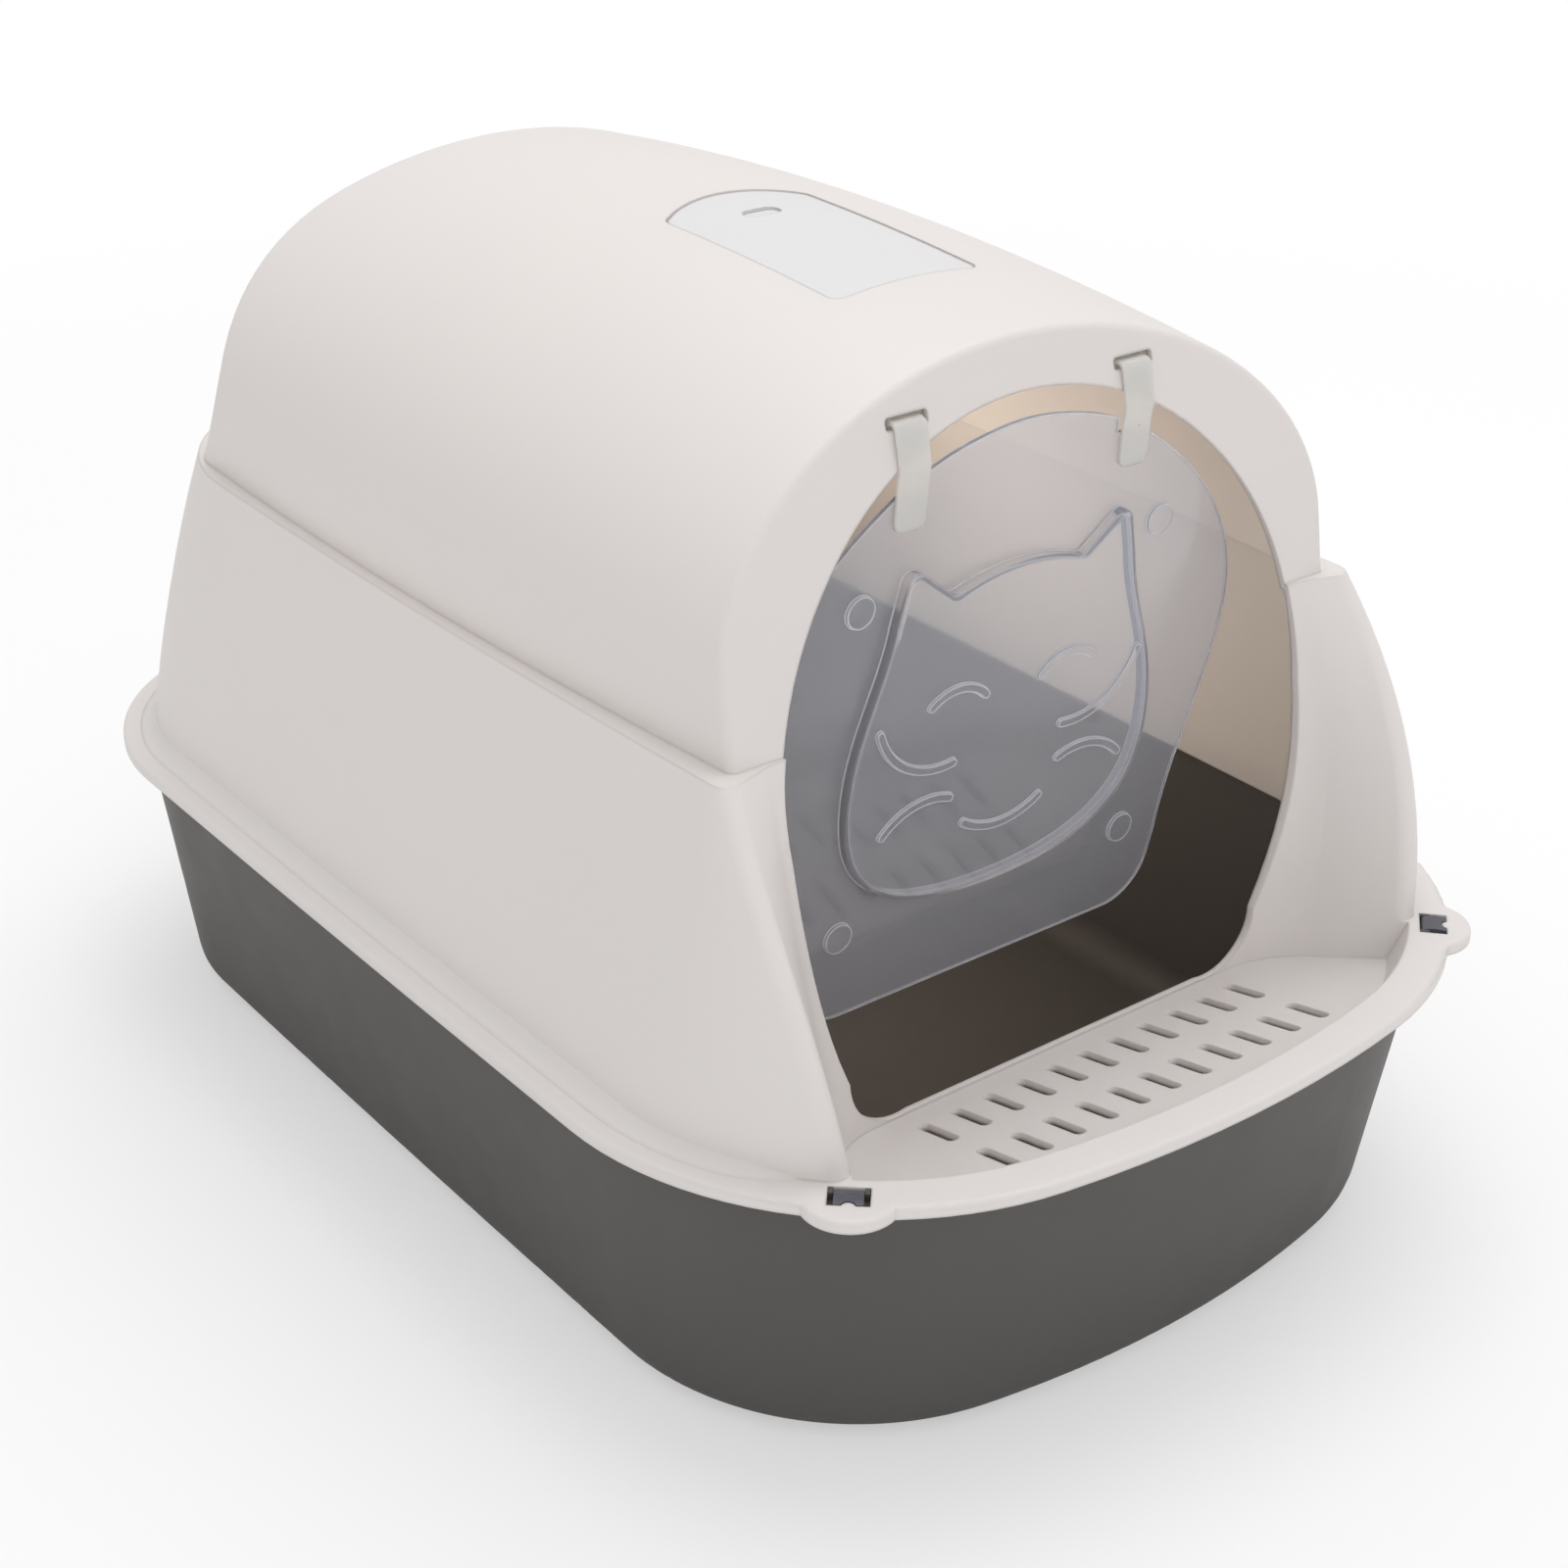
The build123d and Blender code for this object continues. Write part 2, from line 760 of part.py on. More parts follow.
# Door, with a raised animal face
stroke_arcs = [
    ThreePointArc(*[(side * x, stretched(z)) for x, z in stroke])
    for stroke in relief_strokes
    for side in (-1, 1)
]
with BuildPart() as door_flap:
    with BuildSketch(door_face(-door_sheet)) as door_shape:
        with BuildLine():
            Spline(*[(-x, z) for x, z in reversed(door_edge)], *door_edge[1:])
            Polyline(
                door_edge[-1],
                (door_bottom_half, door_bottom),
                (-door_bottom_half, door_bottom),
                (-door_edge[-1][0], door_edge[-1][1]),
            )
        make_face()
        fillet(door_shape.vertices().group_by(Axis.Y)[0], door_corner_radius)
        for side in (-1, 1):
            with Locations((side * strap_place, strap_notch_level)):
                Rectangle(
                    strap_notch_width, strap_notch_width, mode=Mode.SUBTRACT,
                    align=(Align.CENTER, Align.MIN),
                )
    extrude(amount=door_sheet)
    with BuildSketch(door_face(0.0)):
        for side in (-1, 1):
            with Locations((side * door_boss_half, door_boss_top)):
                Circle(door_boss_radius)
            with Locations((side * door_boss_half, door_boss_bottom)):
                Circle(door_boss_radius)
    extrude(amount=door_boss_height)
    extrude(relief_outline(0.0, 0.0).face(), amount=relief_height)
    front_edges = door_flap.faces().sort_by(Axis(door_face(0.0).origin, door_face(0.0).z_dir))[-1]
    fillet(front_edges.edges(), relief_edge_radius)
    extrude(
        relief_outline(-door_sheet, relief_wall).face(),
        amount=door_sheet + relief_height - relief_wall,
        mode=Mode.SUBTRACT,
    )
    with BuildSketch(door_face(relief_height)):
        for arc in stroke_arcs:
            SlotArc(arc, stroke_width)
    extrude(amount=stroke_height)
door_flap.part.label = "door_flap"

# Door straps, each split at its bend into an anchor on the hood and a tail on the door
anchors = []
tails = []
hinge_axis = door_face(strap_thickness / 2).from_local_coords((0, strap_hinge_level, 0))
head_top = door_slot_level + strap_head_height / 2
head_y = upper_face_y(head_top) + hood_wall + strap_gap + strap_thickness / 2
over_top = upper_face_y(door_slot_level) - strap_gap - strap_thickness / 2
over_edge = upper_face_y(strap_bend_level) - strap_gap - strap_thickness / 2
anchor_end = hinge_axis.Z + strap_thickness + strap_gap
for word, side in (("left", -1), ("right", 1)):
    start = side * strap_place - strap_width / 2
    with BuildPart() as anchor:
        with BuildSketch(Plane.YZ.offset(start)):
            with BuildLine():
                FilletPolyline(
                    (head_y, door_slot_level),
                    (over_top, door_slot_level),
                    (over_edge, strap_bend_level),
                    (hinge_axis.Y, anchor_end),
                    radius=strap_bend_radius,
                )
            trace(line_width=strap_thickness)
        extrude(amount=strap_width)
        with BuildSketch(Plane.YZ.offset(side * strap_place - strap_head_width / 2)):
            with Locations((head_y, door_slot_level)):
                Rectangle(strap_thickness, strap_head_height)
        extrude(amount=strap_head_width)
    anchor.part.label = f"door_strap_{word}_anchor"
    anchors.append(anchor)
    with BuildPart() as tail:
        with BuildSketch(door_face(0.0)) as tail_shape:
            with Locations((side * strap_place, strap_end_level)):
                Rectangle(
                    strap_width, strap_hinge_level - strap_end_level,
                    align=(Align.CENTER, Align.MIN),
                )
            fillet(tail_shape.vertices().group_by(Axis.Y)[0], strap_end_radius)
        extrude(amount=strap_thickness)
        with BuildSketch(Plane.YZ.offset(start)):
            with Locations((hinge_axis.Y, hinge_axis.Z)):
                Circle(strap_thickness / 2)
        extrude(amount=strap_width)
    tail.part.label = f"door_strap_{word}_tail"
    tails.append(tail)

# Roof cover
with BuildPart() as filter_cover:
    add(cover_prism(pocket_floor_level, roof_top, 0.0))
    add(roof_body(cover_sink), mode=Mode.INTERSECT)
    add(roof_body(cover_sink + cover_thickness), mode=Mode.SUBTRACT)
    dimple_top = crest_level(cover_dimple_place) - cover_sink
    with BuildSketch(Plane.XY.offset(dimple_top - cover_dimple_depth)):
        with Locations((0, cover_dimple_place)):
            SlotOverall(cover_dimple_length, cover_dimple_width)
    extrude(amount=roof_top - dimple_top, mode=Mode.SUBTRACT)
filter_cover.part.label = "filter_cover"

# Carbon filter
with BuildPart() as carbon_filter:
    add(cover_prism(
        pocket_floor_level, pocket_floor_level + filter_thickness, -pocket_ledge - filter_gap
    ))
carbon_filter.part.label = "carbon_filter"

# Clip levers
clips = []
for word, side in (("left", -1), ("right", 1)):
    lever_width = window_width - 2 * (lug_width + 2 * clip_gap)
    lever_end = window_outer - clip_gap
    lever_bottom = tray_flange_top + clip_bottom_gap
    with BuildPart() as clip:
        with BuildSketch(lever_plane(side, -lever_width / 2)):
            with Locations((clip_pivot, clip_pivot_level)):
                Circle(clip_barrel_radius)
            with BuildLine():
                lever_top = clip_pivot_level + clip_barrel_radius
                Polyline(
                    (clip_pivot, lever_top), (clip_pivot, lever_bottom),
                    (lever_end, lever_bottom), (lever_end, lever_top),
                )
                ThreePointArc(
                    (lever_end, lever_top),
                    ((lever_end + clip_pivot) / 2, lever_top + clip_crown),
                    (clip_pivot, lever_top),
                )
            make_face()
        extrude(amount=lever_width)
        with BuildSketch(corner_plane(side, 0.0, lever_bottom)):
            with Locations((0, window_outer + nose_shift)):
                Circle(nose_radius + clip_gap)
        extrude(amount=rim_lip_height, mode=Mode.SUBTRACT)
        pin_length = lever_width + 2 * (lug_width + clip_gap)
        with BuildSketch(lever_plane(side, -pin_length / 2)):
            with Locations((clip_pivot, clip_pivot_level)):
                Circle(clip_pin_radius)
        extrude(amount=pin_length)
    clip.part.label = f"latch_clip_{word}"
    clips.append(clip)

os.makedirs("parts", exist_ok=True)
export_step(hood.part, "parts/hood.step")
export_step(litter_tray.part, "parts/litter_tray.step")
export_step(door_flap.part, "parts/door_flap.step")
export_step(filter_cover.part, "parts/filter_cover.step")
export_step(carbon_filter.part, "parts/carbon_filter.step")
for item in (*anchors, *tails, *clips):
    export_step(item.part, f"parts/{item.part.label}.step")
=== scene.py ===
from math import cos, radians, sin

import bmesh
import bpy
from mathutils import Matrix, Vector


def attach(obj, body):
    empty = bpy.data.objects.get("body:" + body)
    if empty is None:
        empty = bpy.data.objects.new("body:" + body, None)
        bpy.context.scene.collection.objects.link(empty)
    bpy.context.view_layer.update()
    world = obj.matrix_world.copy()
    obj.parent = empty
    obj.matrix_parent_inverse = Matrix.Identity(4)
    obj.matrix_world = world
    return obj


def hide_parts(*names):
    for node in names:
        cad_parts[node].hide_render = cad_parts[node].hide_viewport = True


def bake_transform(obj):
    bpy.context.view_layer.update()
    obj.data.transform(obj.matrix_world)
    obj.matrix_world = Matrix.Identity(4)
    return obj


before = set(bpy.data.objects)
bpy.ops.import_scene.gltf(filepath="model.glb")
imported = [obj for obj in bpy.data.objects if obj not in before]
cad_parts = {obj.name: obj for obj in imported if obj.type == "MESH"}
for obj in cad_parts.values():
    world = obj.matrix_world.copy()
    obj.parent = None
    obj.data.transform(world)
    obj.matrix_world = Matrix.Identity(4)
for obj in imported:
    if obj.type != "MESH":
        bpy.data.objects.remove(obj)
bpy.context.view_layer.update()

# Camera, from fitting the rim, step, arch and doorway to the photograph
CAMERA_PLACE = (-0.581573, -0.780407, 0.627973)
CAMERA_TILT = 62.605
CAMERA_TURN = -37.5025
CAMERA_LENS = 60.75
CAMERA_SENSOR = 36.0
CAMERA_NEAR = 0.05
CAMERA_FAR = 50.0

# Colours, linear
WARM_WHITE = (0.86, 0.825, 0.81)
COVER_WHITE = (0.83, 0.825, 0.84)
GLOW_TAN = (0.95, 0.83, 0.68)
HOOD_GLOW = 0.14
TRAY_GREY = (0.093, 0.087, 0.084)
CLEAR_TINT = (0.86, 0.88, 0.95)
STRAP_MILK = (0.93, 0.92, 0.90)
STRAP_GLOW = 0.25
CLIP_GREY = (0.085, 0.085, 0.105)
FELT_BLACK = (0.018, 0.018, 0.019)
FLOOR_WHITE = (0.95, 0.95, 0.95)

# Floor, in metres: its half size, and the ring in which it turns white to the camera
FLOOR_HALF = 6.0
FLOOR_CLEAR = 0.65
FLOOR_WHITE_FROM = 1.5
FLOOR_LIFT = 0.45
FLOOR_ROUGHNESS = 0.9
FLOOR_GLOSS = 0.1

# Lights: places and sizes in metres, powers in watts
SKY_STRENGTH = 0.70
LIGHT_TARGET = (0, 0, 0.2)
OVERHEAD_PLACE = (0.5, 0.25, 2.25)
OVERHEAD_SIZE = 1.8
OVERHEAD_POWER = 21.5
FRONT_PLACE = (-0.7, -2.2, 1.1)
FRONT_SIZE = 1.4
FRONT_POWER = 5.2
CABIN_PLACE = (0.02, 0.02, 0.2)
CABIN_SIZE = 0.05
CABIN_POWER = 0.52
CABIN_COLOUR = (1.0, 0.88, 0.74)

# Soft edges: how well the rounded normal agrees with the face's own at no edge and at a full
# one; this edge mask paints the door's edges paler, a painted highlight
EDGE_NONE = 0.995
EDGE_FULL = 0.80
BEVEL_SAMPLES = 4
EDGE_SAMPLES = 6

# Cove where the hood's wall meets its rim
RIM_TOP = 0.1186
COVE_RADIUS = 0.0085
COVE_LEAN = 0.17
COVE_ROOT = 0.0009
COVE_STEP = 0.005
COVE_STEPS = 8
COVE_FRONT = -0.222
COVE_TAPER = 0.03
COVE_LEAST = 0.12
COVE_CUT = 0.0003
WELD_GAP = 1e-5
SHORTEST = 1e-9

# Door straps, each one bent strip from behind the arch to the door
STRAP_PLACE = 0.051
STRAP_WIDTH = 0.0136
STRAP_THICKNESS = 0.0015
STRAP_END_RADIUS = 0.004
STRAP_ROUTE = (
    (-0.1502, 0.3366), (-0.1553, 0.3366), (-0.1571, 0.3346), (-0.1596, 0.3212),
    (-0.1585, 0.3172), (-0.15705, 0.2988),
)
STRAP_STEP = 0.0008
STRAP_TURN = 0.0022
STRAP_TURN_STEPS = 6
TURN_LIMIT = 0.45
STRAP_SOFTNESS = 0.8
STRAP_CORNER_ANGLES = (0, 30, 60, 90)
STRAP_HEAD_WIDTH = 0.0216
STRAP_HEAD_HEIGHT = 0.0066
STRAP_HEAD_BEVEL = 0.0005


def new_material(name):
    """A node material with its principled shader."""
    material = bpy.data.materials.new(name)
    material.use_nodes = True
    tree = material.node_tree
    return material, tree, tree.nodes["Principled BSDF"]


def object_coords(tree):
    """Object coordinates, which are the frame's metres for every piece."""
    return tree.nodes.new("ShaderNodeTexCoord").outputs["Object"]


def noise(tree, scale, detail=3.0, roughness=0.55):
    """A noise texture over the piece; returns its grey output."""
    node = tree.nodes.new("ShaderNodeTexNoise")
    node.inputs["Scale"].default_value = scale
    node.inputs["Detail"].default_value = detail
    node.inputs["Roughness"].default_value = roughness
    tree.links.new(object_coords(tree), node.inputs["Vector"])
    return node.outputs["Fac"]


def remap(tree, value, low, high):
    """A grey value from 0 to 1 mapped onto low to high."""
    node = tree.nodes.new("ShaderNodeMapRange")
    node.inputs["To Min"].default_value = low
    node.inputs["To Max"].default_value = high
    tree.links.new(value, node.inputs["Value"])
    return node.outputs["Result"]


def rough(tree, shader, value, low, high):
    """Lets the roughness drift from low to high with a grey value."""
    tree.links.new(remap(tree, value, low, high), shader.inputs["Roughness"])


def mottled(tree, shader, colour, value, spread):
    """Lets the base colour drift a little lighter and darker with a grey value."""
    ramp = tree.nodes.new("ShaderNodeMix")
    ramp.data_type = "RGBA"
    ramp.inputs["A"].default_value = (*[c * (1 - spread) for c in colour], 1)
    ramp.inputs["B"].default_value = (*[min(c * (1 + spread), 1) for c in colour], 1)
    tree.links.new(value, ramp.inputs["Factor"])
    tree.links.new(ramp.outputs["Result"], shader.inputs["Base Color"])


def soft_normal(tree, radius, samples=BEVEL_SAMPLES):
    """Normals that are rounded over the edges within a radius."""
    soft = tree.nodes.new("ShaderNodeBevel")
    soft.samples = samples
    soft.inputs["Radius"].default_value = radius
    return soft.outputs["Normal"]


def edge_share(tree, radius):
    """A grey value that rises from 0 on flat faces to 1 at their edges."""
    facet = tree.nodes.new("ShaderNodeNewGeometry").outputs["Normal"]
    product = tree.nodes.new("ShaderNodeVectorMath")
    product.operation = "DOT_PRODUCT"
    tree.links.new(facet, product.inputs[0])
    tree.links.new(soft_normal(tree, radius, EDGE_SAMPLES), product.inputs[1])
    size = tree.nodes.new("ShaderNodeMath")
    size.operation = "ABSOLUTE"
    tree.links.new(product.outputs["Value"], size.inputs[0])
    share = tree.nodes.new("ShaderNodeMapRange")
    share.inputs["From Min"].default_value = EDGE_NONE
    share.inputs["From Max"].default_value = EDGE_FULL
    tree.links.new(size.outputs["Value"], share.inputs["Value"])
    return share.outputs["Result"]


def bump(tree, shader, value, strength, distance, edge=0.0):
    """Bumps the surface with a grey value, over edges softened by a radius."""
    node = tree.nodes.new("ShaderNodeBump")
    node.inputs["Strength"].default_value = strength
    node.inputs["Distance"].default_value = distance
    tree.links.new(value, node.inputs["Height"])
    if edge:
        tree.links.new(soft_normal(tree, edge), node.inputs["Normal"])
    tree.links.new(node.outputs["Normal"], shader.inputs["Normal"])


def light_through(tree, shader, colour, share):
    """Lets a share of the light pass through the wall, tinted by a colour."""
    glow = tree.nodes.new("ShaderNodeBsdfTranslucent")
    glow.inputs["Color"].default_value = (*colour, 1)
    mix = tree.nodes.new("ShaderNodeMixShader")
    mix.inputs["Fac"].default_value = share
    tree.links.new(shader.outputs["BSDF"], mix.inputs[1])
    tree.links.new(glow.outputs["BSDF"], mix.inputs[2])
    tree.links.new(mix.outputs["Shader"], tree.nodes["Material Output"].inputs["Surface"])


def hood_plastic(tint, name):
    """Pale moulded plastic, fine grained, whose thin walls let light through."""
    material, tree, shader = new_material(name)
    mottled(tree, shader, tint, noise(tree, scale=7.0, detail=2.0), spread=0.012)
    rough(tree, shader, noise(tree, scale=60.0), low=0.36, high=0.48)
    grain = noise(tree, scale=900.0, detail=2.0)
    bump(tree, shader, grain, strength=0.06, distance=0.0004, edge=0.0018)
    shader.inputs["Specular IOR Level"].default_value = 0.4
    light_through(tree, shader, GLOW_TAN, HOOD_GLOW)
    return material


def tray_plastic():
    """Dark grey moulded plastic with a fine matte grain."""
    material, tree, shader = new_material("tray_plastic")
    mottled(tree, shader, TRAY_GREY, noise(tree, scale=9.0), spread=0.05)
    rough(tree, shader, noise(tree, scale=45.0), low=0.45, high=0.6)
    bump(tree, shader, noise(tree, scale=1100.0, detail=2.0), strength=0.1, distance=0.0004)
    shader.inputs["Specular IOR Level"].default_value = 0.35
    return material


def clear_plastic():
    """Clear flexible plastic with a light haze; its edges let less light through and so read
    paler, a painted highlight along them.
    """
    material, tree, shader = new_material("door_plastic")
    mottled(tree, shader, CLEAR_TINT, noise(tree, scale=6.0, detail=2.0), spread=0.015)
    rough(tree, shader, noise(tree, scale=25.0), low=0.04, high=0.08)
    # Painted highlight: transmission drops at the edges, so the door's outline, relief and
    # bosses show as pale lines.
    clear = remap(tree, edge_share(tree, radius=0.0014), low=0.80, high=0.1)
    tree.links.new(clear, shader.inputs["Transmission Weight"])
    waves = noise(tree, scale=14.0, detail=1.0)
    bump(tree, shader, waves, strength=0.04, distance=0.0006, edge=0.0009)
    shader.inputs["IOR"].default_value = 1.35
    return material


def strap_plastic():
    """Milky flexible plastic."""
    material, tree, shader = new_material("strap_plastic")
    mottled(tree, shader, STRAP_MILK, noise(tree, scale=40.0, detail=2.0), spread=0.02)
    rough(tree, shader, noise(tree, scale=90.0), low=0.25, high=0.34)
    bump(tree, shader, noise(tree, scale=700.0, detail=2.0), strength=0.05, distance=0.0003)
    shader.inputs["Transmission Weight"].default_value = 0.35
    shader.inputs["IOR"].default_value = 1.35
    light_through(tree, shader, STRAP_MILK, STRAP_GLOW)
    return material


def clip_plastic():
    """Dark smooth plastic of the clip levers."""
    material, tree, shader = new_material("clip_plastic")
    mottled(tree, shader, CLIP_GREY, noise(tree, scale=80.0, detail=2.0), spread=0.05)
    rough(tree, shader, noise(tree, scale=150.0), low=0.3, high=0.4)
    grain = noise(tree, scale=1500.0, detail=2.0)
    bump(tree, shader, grain, strength=0.05, distance=0.0002, edge=0.0003)
    return material


def filter_felt():
    """Black felt with loose fibres."""
    material, tree, shader = new_material("filter_pad")
    tufts = noise(tree, scale=300.0, detail=6.0, roughness=0.7)
    mottled(tree, shader, FELT_BLACK, tufts, spread=0.6)
    shader.inputs["Roughness"].default_value = 0.95
    fibres = noise(tree, scale=900.0, detail=6.0, roughness=0.75)
    bump(tree, shader, fibres, strength=0.7, distance=0.0012)
    shader.inputs["Sheen Weight"].default_value = 0.3
    return material


def dress(node, material):
    """Gives a carried-over node its material."""
    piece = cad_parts[node]
    piece.data.materials.clear()
    piece.data.materials.append(material)


def finish_piece(name, mesh_maker, material):
    """A smooth object from a bmesh, with its material."""
    mesh = bpy.data.meshes.new(name)
    bmesh.ops.recalc_face_normals(mesh_maker, faces=mesh_maker.faces)
    mesh_maker.to_mesh(mesh)
    mesh_maker.free()
    mesh.materials.append(material)
    for face in mesh.polygons:
        face.use_smooth = True
    piece = bpy.data.objects.new(name, mesh)
    bpy.context.scene.collection.objects.link(piece)
    return piece


def skin_rings(rings):
    """A closed skin over rings of points, capped at both ends."""
    maker = bmesh.new()
    loops = [[maker.verts.new(point) for point in ring] for ring in rings]
    for first, second in zip(loops, loops[1:]):
        for k in range(len(first)):
            m = (k + 1) % len(first)
            maker.faces.new((first[k], first[m], second[m], second[k]))
    maker.faces.new(loops[0])
    maker.faces.new(list(reversed(loops[-1])))
    return maker


def wall_line(node, height):
    """The outer line where a level plane cuts a node, from one front corner round the back."""
    cutter = bmesh.new()
    cutter.from_mesh(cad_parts[node].data)
    bmesh.ops.bisect_plane(
        cutter, geom=cutter.verts[:] + cutter.edges[:] + cutter.faces[:],
        plane_co=(0, 0, height), plane_no=(0, 0, 1), clear_inner=True, clear_outer=True,
    )
    bmesh.ops.remove_doubles(cutter, verts=cutter.verts[:], dist=WELD_GAP)
    start = max(cutter.verts, key=lambda v: v.co.y - abs(v.co.x) / 2)
    halves = []
    for edge in start.link_edges:
        here, via = start, edge
        line = [start.co.copy()]
        while here.co.y > COVE_FRONT:
            here = via.other_vert(here)
            line.append(here.co.copy())
            ways = [e for e in here.link_edges if e != via]
            if not ways:
                break
            via = ways[0]
        halves.append(line)
    cutter.free()
    return list(reversed(halves[0])) + halves[1][1:]


def evenly(line, step):
    """Points at even steps along a line of points."""
    lengths = [0.0]
    for a, b in zip(line, line[1:]):
        lengths.append(lengths[-1] + (b - a).length)
    count = round(lengths[-1] / step)
    points = []
    k = 0
    for n in range(count + 1):
        goal = lengths[-1] * n / count
        while k < len(line) - 2 and lengths[k + 1] < goal:
            k += 1
        span = max(lengths[k + 1] - lengths[k], SHORTEST)
        points.append(line[k].lerp(line[k + 1], min((goal - lengths[k]) / span, 1.0)))
    return points


def bow(first, corner, last, steps):
    """Points of a bow from first to last, drawn towards a corner."""
    points = []
    for k in range(steps + 1):
        t = k / steps
        points.append(first * (1 - t) ** 2 + corner * (2 * t * (1 - t)) + last * t**2)
    return points


def make_cove():
    """The hollow moulding between the hood's wall and its rim."""
    foot = evenly(wall_line("hood", RIM_TOP + COVE_CUT), COVE_STEP)
    up = Vector((0, 0, 1))
    rings = []
    for n, point in enumerate(foot):
        ahead = foot[min(n + 1, len(foot) - 1)] - foot[max(n - 1, 0)]
        out = ahead.cross(up).normalized()
        if out.dot(Vector((point.x, point.y, 0))) < 0:
            out.negate()
        reach = min(n, len(foot) - 1 - n) * COVE_STEP
        share = min(reach / COVE_TAPER, 1.0)
        size = COVE_RADIUS * max(share * (2 - share), COVE_LEAST)
        base = Vector((point.x, point.y, RIM_TOP))
        top = base + up * size - out * (COVE_LEAN * size + COVE_ROOT / 3)
        end = base + out * size - up * (COVE_ROOT / 3)
        ring = bow(top, base, end, COVE_STEPS)
        ring.append(base - out * COVE_ROOT - up * COVE_ROOT)
        rings.append(ring)
    cove = finish_piece("rim_cove", skin_rings(rings), hood_material)
    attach(cove, "hood")


def rounded_route(route, radius, steps):
    """A route with its corners rounded, as points with even turns."""
    points = [Vector(route[0])]
    for a, b, c in zip(route, route[1:], route[2:]):
        a, b, c = Vector(a), Vector(b), Vector(c)
        first = b + (a - b).normalized() * min(radius, (a - b).length * TURN_LIMIT)
        last = b + (c - b).normalized() * min(radius, (c - b).length * TURN_LIMIT)
        points += bow(first, b, last, steps)
    points.append(Vector(route[-1]))
    return points


def make_strap(word, side):
    """One bent strap: a head behind the arch, a strip through its slot and down the door."""
    line = evenly(rounded_route(STRAP_ROUTE, STRAP_TURN, STRAP_TURN_STEPS), STRAP_STEP)
    half_thick = STRAP_THICKNESS / 2
    soft = half_thick * STRAP_SOFTNESS
    rings = []
    for n, point in enumerate(line):
        ahead = (line[min(n + 1, len(line) - 1)] - line[max(n - 1, 0)]).normalized()
        across = Vector((-ahead.y, ahead.x))
        to_end = (line[-1] - point).length
        half = STRAP_WIDTH / 2
        if to_end < STRAP_END_RADIUS:
            short = STRAP_END_RADIUS - to_end
            half -= STRAP_END_RADIUS - (STRAP_END_RADIUS**2 - short**2) ** 0.5
        ring = []
        for corner_x, corner_t, turn in (
            (half - soft, half_thick - soft, 0), (soft - half, half_thick - soft, 90),
            (soft - half, soft - half_thick, 180), (half - soft, soft - half_thick, 270),
        ):
            for angle in STRAP_CORNER_ANGLES:
                x = corner_x + soft * cos(radians(turn + angle))
                t = corner_t + soft * sin(radians(turn + angle))
                ring.append((
                    side * STRAP_PLACE + x, point.x + across.x * t, point.y + across.y * t
                ))
        rings.append(ring)
    maker = skin_rings(rings)
    head = bmesh.ops.create_cube(maker, size=1.0)["verts"]
    head_size = (STRAP_HEAD_WIDTH, STRAP_THICKNESS, STRAP_HEAD_HEIGHT)
    bmesh.ops.scale(maker, verts=head, vec=head_size)
    bmesh.ops.translate(maker, verts=head, vec=(side * STRAP_PLACE, *STRAP_ROUTE[0]))
    edges = list({edge for vert in head for edge in vert.link_edges})
    bmesh.ops.bevel(
        maker, geom=edges, offset=STRAP_HEAD_BEVEL, segments=2, affect="EDGES"
    )
    strap = finish_piece(f"door_strap_{word}", maker, strap_material)
    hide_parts(f"door_strap_{word}_anchor", f"door_strap_{word}_tail")
    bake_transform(strap)


def make_floor():
    """A pale floor that keeps the shadow and turns white to the camera further out."""
    mesh = bpy.data.meshes.new("floor")
    half = FLOOR_HALF
    corners = [(-half, -half, 0), (half, -half, 0), (half, half, 0), (-half, half, 0)]
    mesh.from_pydata(corners, [], [(0, 1, 2, 3)])
    floor = bpy.data.objects.new("floor", mesh)
    bpy.context.scene.collection.objects.link(floor)
    material, tree, shader = new_material("floor_white")
    shader.inputs["Base Color"].default_value = (*FLOOR_WHITE, 1)
    shader.inputs["Roughness"].default_value = FLOOR_ROUGHNESS
    shader.inputs["Specular IOR Level"].default_value = FLOOR_GLOSS
    away = tree.nodes.new("ShaderNodeVectorMath")
    away.operation = "LENGTH"
    tree.links.new(object_coords(tree), away.inputs[0])
    far = tree.nodes.new("ShaderNodeMapRange")
    far.interpolation_type = "SMOOTHSTEP"
    far.inputs["From Min"].default_value = FLOOR_CLEAR
    far.inputs["From Max"].default_value = FLOOR_WHITE_FROM
    far.inputs["To Min"].default_value = FLOOR_LIFT
    tree.links.new(away.outputs["Value"], far.inputs["Value"])
    seen = tree.nodes.new("ShaderNodeMath")
    seen.operation = "MULTIPLY"
    path = tree.nodes.new("ShaderNodeLightPath")
    tree.links.new(path.outputs["Is Camera Ray"], seen.inputs[0])
    tree.links.new(far.outputs["Result"], seen.inputs[1])
    white = tree.nodes.new("ShaderNodeEmission")
    mix = tree.nodes.new("ShaderNodeMixShader")
    tree.links.new(seen.outputs["Value"], mix.inputs["Fac"])
    tree.links.new(shader.outputs["BSDF"], mix.inputs[1])
    tree.links.new(white.outputs["Emission"], mix.inputs[2])
    tree.links.new(mix.outputs["Shader"], tree.nodes["Material Output"].inputs["Surface"])
    floor.data.materials.append(material)


def area_light(name, place, size, power):
    """A soft square lamp that looks at the middle of the box."""
    data = bpy.data.lights.new(name, "AREA")
    data.size = size
    data.energy = power
    lamp = bpy.data.objects.new(name, data)
    lamp.location = place
    view = Vector(LIGHT_TARGET) - Vector(place)
    lamp.rotation_euler = view.to_track_quat("-Z", "Y").to_euler()
    bpy.context.scene.collection.objects.link(lamp)


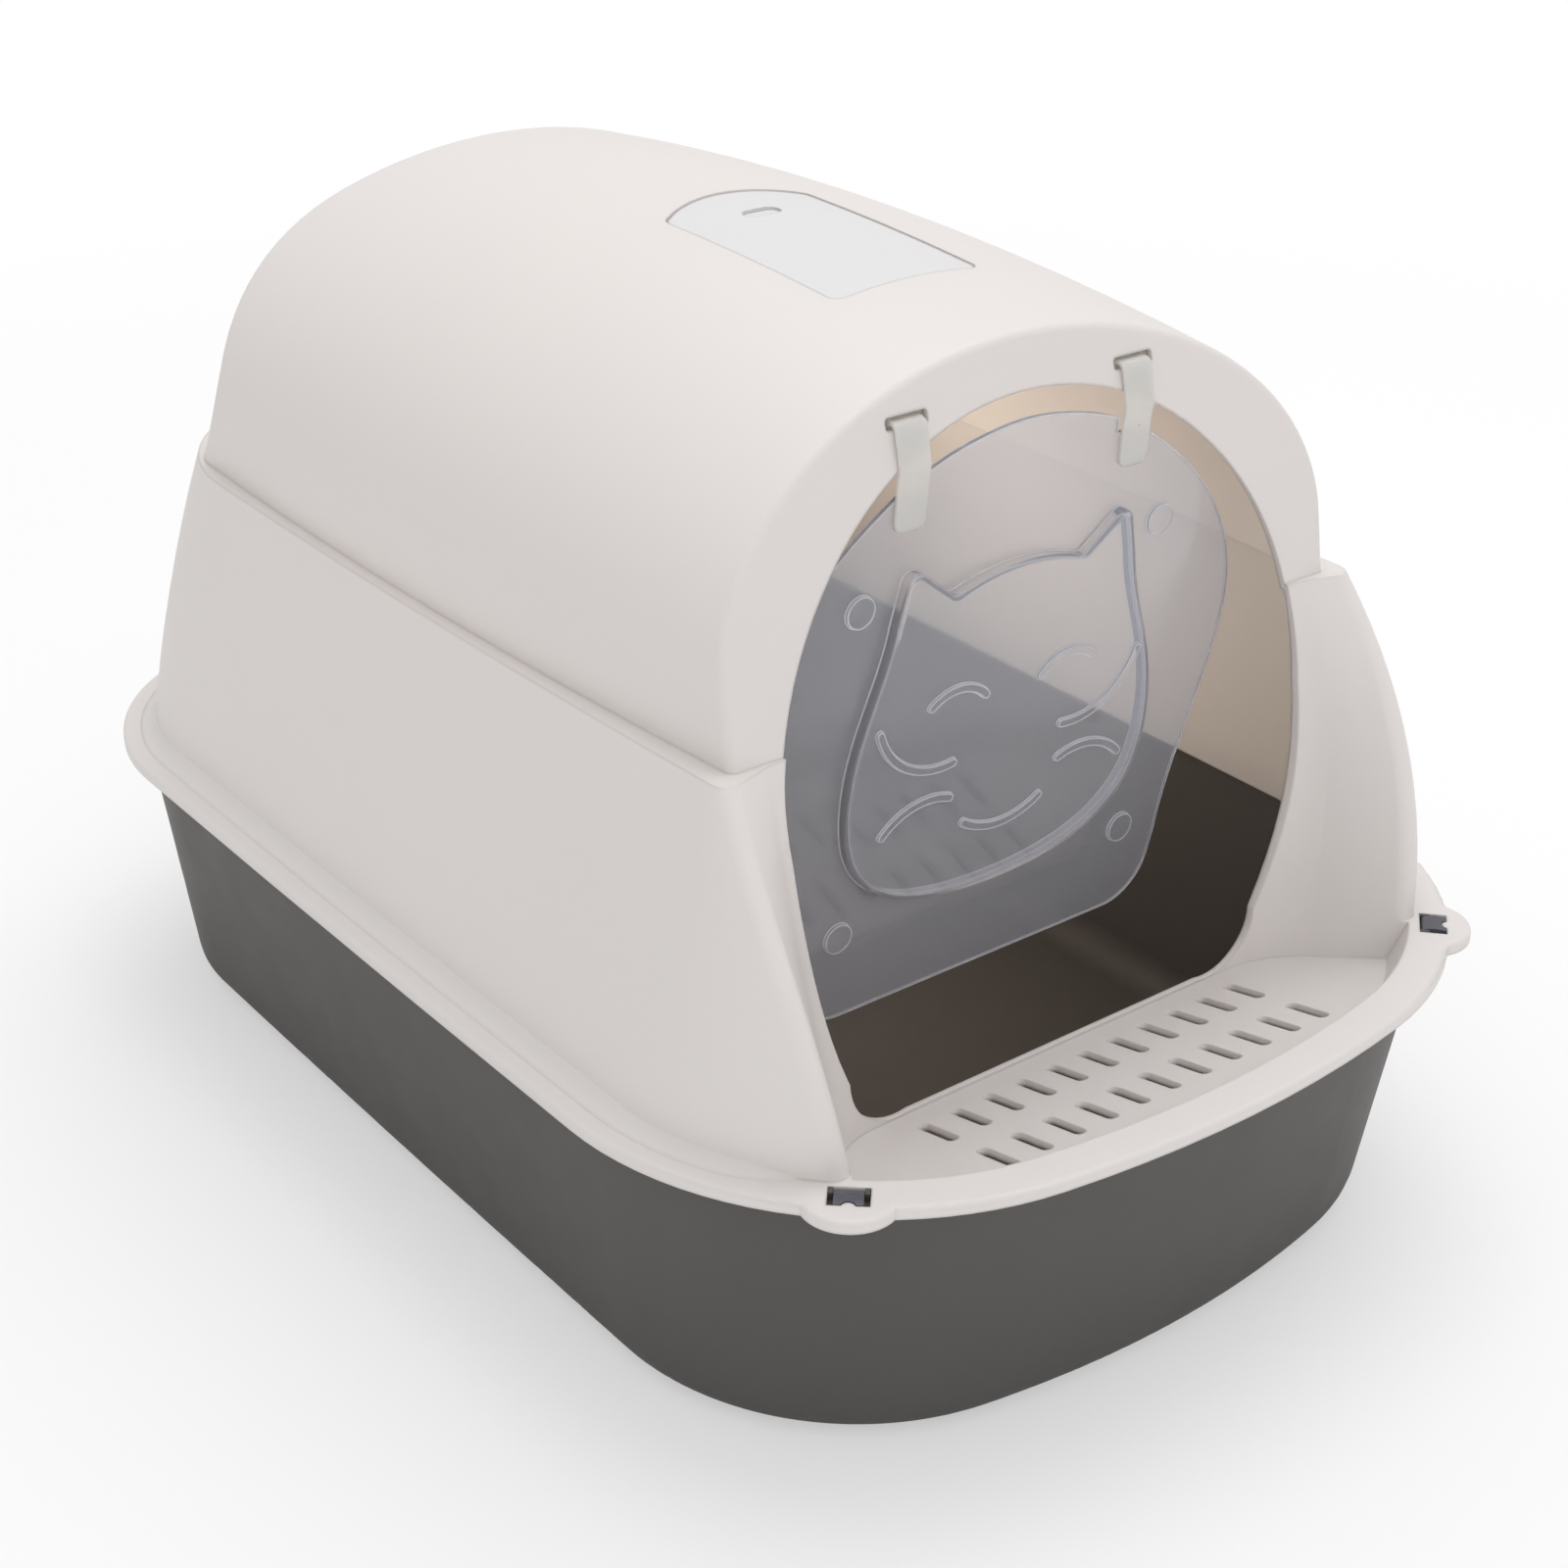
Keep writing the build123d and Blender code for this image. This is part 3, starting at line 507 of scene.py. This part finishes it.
def cabin_light(name, place, size, power, colour):
    """A small soft lamp inside the hood, for the light that its thin walls let in."""
    data = bpy.data.lights.new(name, "POINT")
    data.shadow_soft_size = size
    data.energy = power
    data.color = colour
    lamp = bpy.data.objects.new(name, data)
    lamp.location = place
    lamp.visible_camera = False
    lamp.visible_glossy = False
    lamp.visible_transmission = False
    bpy.context.scene.collection.objects.link(lamp)


def make_world(strength):
    """Even white surroundings."""
    world = bpy.data.worlds.new("surroundings")
    bpy.context.scene.world = world
    world.use_nodes = True
    tree = world.node_tree
    background = tree.nodes["Background"]
    background.inputs["Color"].default_value = (1, 1, 1, 1)
    path = tree.nodes.new("ShaderNodeLightPath")
    level = tree.nodes.new("ShaderNodeMapRange")
    level.inputs["To Min"].default_value = strength
    level.inputs["To Max"].default_value = 1.0
    tree.links.new(path.outputs["Is Camera Ray"], level.inputs["Value"])
    tree.links.new(level.outputs["Result"], background.inputs["Strength"])


def make_camera():
    """The camera at the photograph's viewpoint."""
    data = bpy.data.cameras.new("camera")
    data.lens = CAMERA_LENS
    data.sensor_width = CAMERA_SENSOR
    data.clip_start = CAMERA_NEAR
    data.clip_end = CAMERA_FAR
    camera = bpy.data.objects.new("camera", data)
    camera.location = CAMERA_PLACE
    camera.rotation_euler = (radians(CAMERA_TILT), 0, radians(CAMERA_TURN))
    bpy.context.scene.collection.objects.link(camera)
    bpy.context.scene.camera = camera


# Materials of the carried-over nodes
hood_material = hood_plastic(WARM_WHITE, "hood_plastic")
strap_material = strap_plastic()
clip_material = clip_plastic()
dress("hood", hood_material)
dress("filter_cover", hood_plastic(COVER_WHITE, "cover_plastic"))
dress("litter_tray", tray_plastic())
dress("door_flap", clear_plastic())
dress("carbon_filter", filter_felt())
for word in ("left", "right"):
    dress(f"door_strap_{word}_anchor", strap_material)
    dress(f"door_strap_{word}_tail", strap_material)
    dress(f"latch_clip_{word}", clip_material)

# Pieces that the scene adds
make_cove()
for word, side in (("left", -1), ("right", 1)):
    make_strap(word, side)

# Floor, light and camera
make_floor()
make_world(SKY_STRENGTH)
area_light("overhead", OVERHEAD_PLACE, OVERHEAD_SIZE, OVERHEAD_POWER)
area_light("front", FRONT_PLACE, FRONT_SIZE, FRONT_POWER)
cabin_light("cabin", CABIN_PLACE, CABIN_SIZE, CABIN_POWER, CABIN_COLOUR)
make_camera()
bpy.context.scene.view_settings.view_transform = "Standard"
